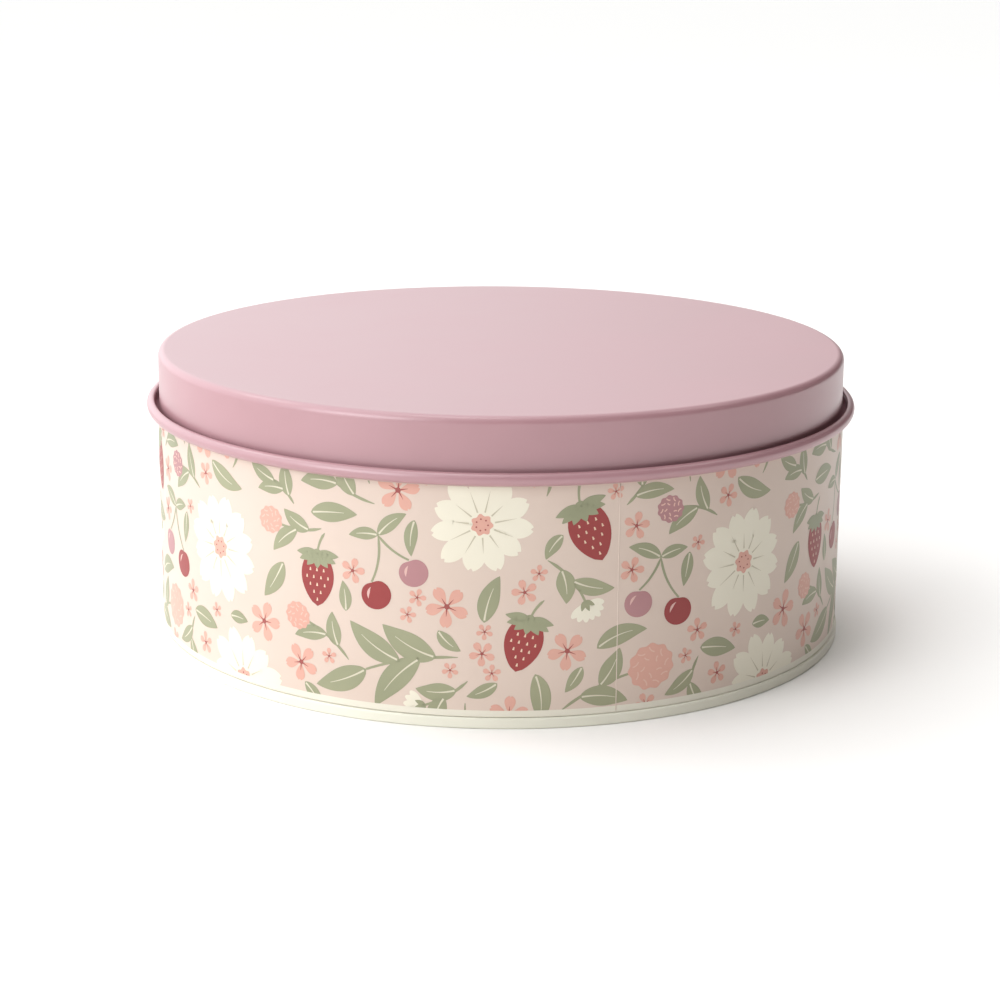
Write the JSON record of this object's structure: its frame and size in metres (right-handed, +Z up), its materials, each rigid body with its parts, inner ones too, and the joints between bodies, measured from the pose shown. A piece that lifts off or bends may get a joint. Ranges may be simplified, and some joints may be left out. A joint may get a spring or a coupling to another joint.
{
  "type": "round slip-lid tin",
  "caption": "Round tinplate cake tin with a straight printed wall, a seamed bottom end and a lift-off lid with a curled rim.",
  "frame": {"origin": "on the tin's axis, at the level of the flat foot of the bottom seam", "axes": "+Z up along the axis; -Y is the front; the side seam is 18 degrees to the right of the front"},
  "size_m": [0.2072, 0.2072, 0.0838],
  "materials": {
    "pink_enamel": "satin dusty pink stoving enamel on tinplate",
    "printed_blush": "satin lithographed floral print on blush ground",
    "cream_enamel": "satin pale cream enamel on tinplate"
  },
  "bodies": {
    "tin": {"body_wall": "printed_blush", "bottom_end": "cream_enamel"},
    "lid": {"lid": "pink_enamel"}
  },
  "joints": [
    {"name": "lid_lift", "type": "slide", "parent": "tin", "child": "lid", "axis": [0, 0, 1], "range_m": [0, 0.09]}
  ]
}
